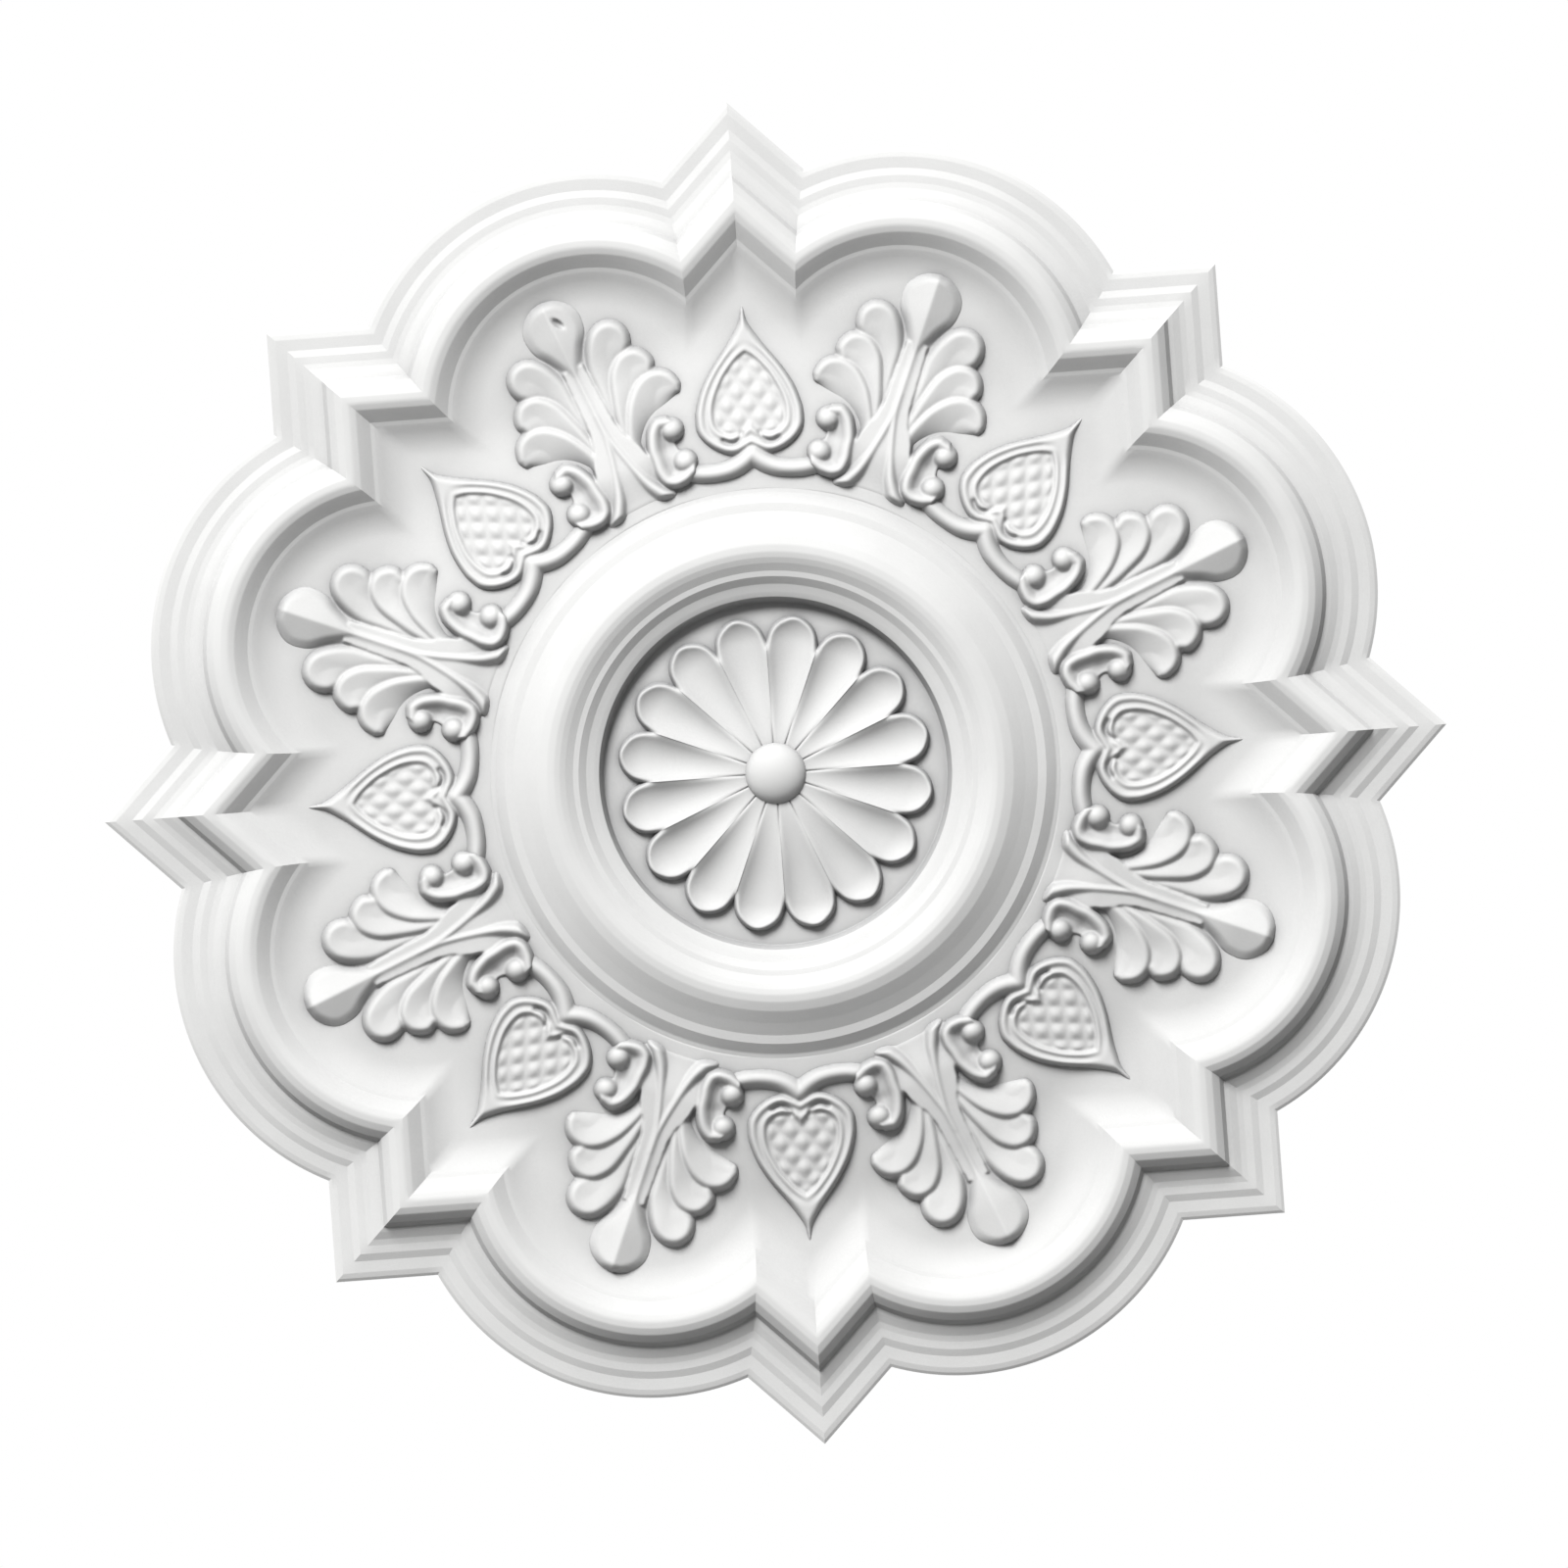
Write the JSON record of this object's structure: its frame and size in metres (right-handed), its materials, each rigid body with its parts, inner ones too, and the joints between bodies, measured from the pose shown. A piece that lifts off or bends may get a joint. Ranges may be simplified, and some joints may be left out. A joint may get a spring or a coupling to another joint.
{
  "type": "ceiling rose",
  "caption": "Cast plaster ceiling rose with a lobed, cornered moulding, a round moulding, leaves, hearts and a petalled rosette on a flat back.",
  "frame": {"origin": "centre of the flat back, which is the face that is fixed to the ceiling", "axes": "+Y along the rose's axis into the ceiling or wall, the relief faces -Y, and +Z points through one corner of the outline as in the picture; turned 90 degrees about X so that +Y points up, it hangs below a ceiling"},
  "size_m": [0.66, 0.0312, 0.66],
  "materials": {
    "plaster": "smooth matt white cast gypsum plaster"
  },
  "bodies": {
    "root": {"ceiling_rose": "plaster"}
  },
  "joints": []
}
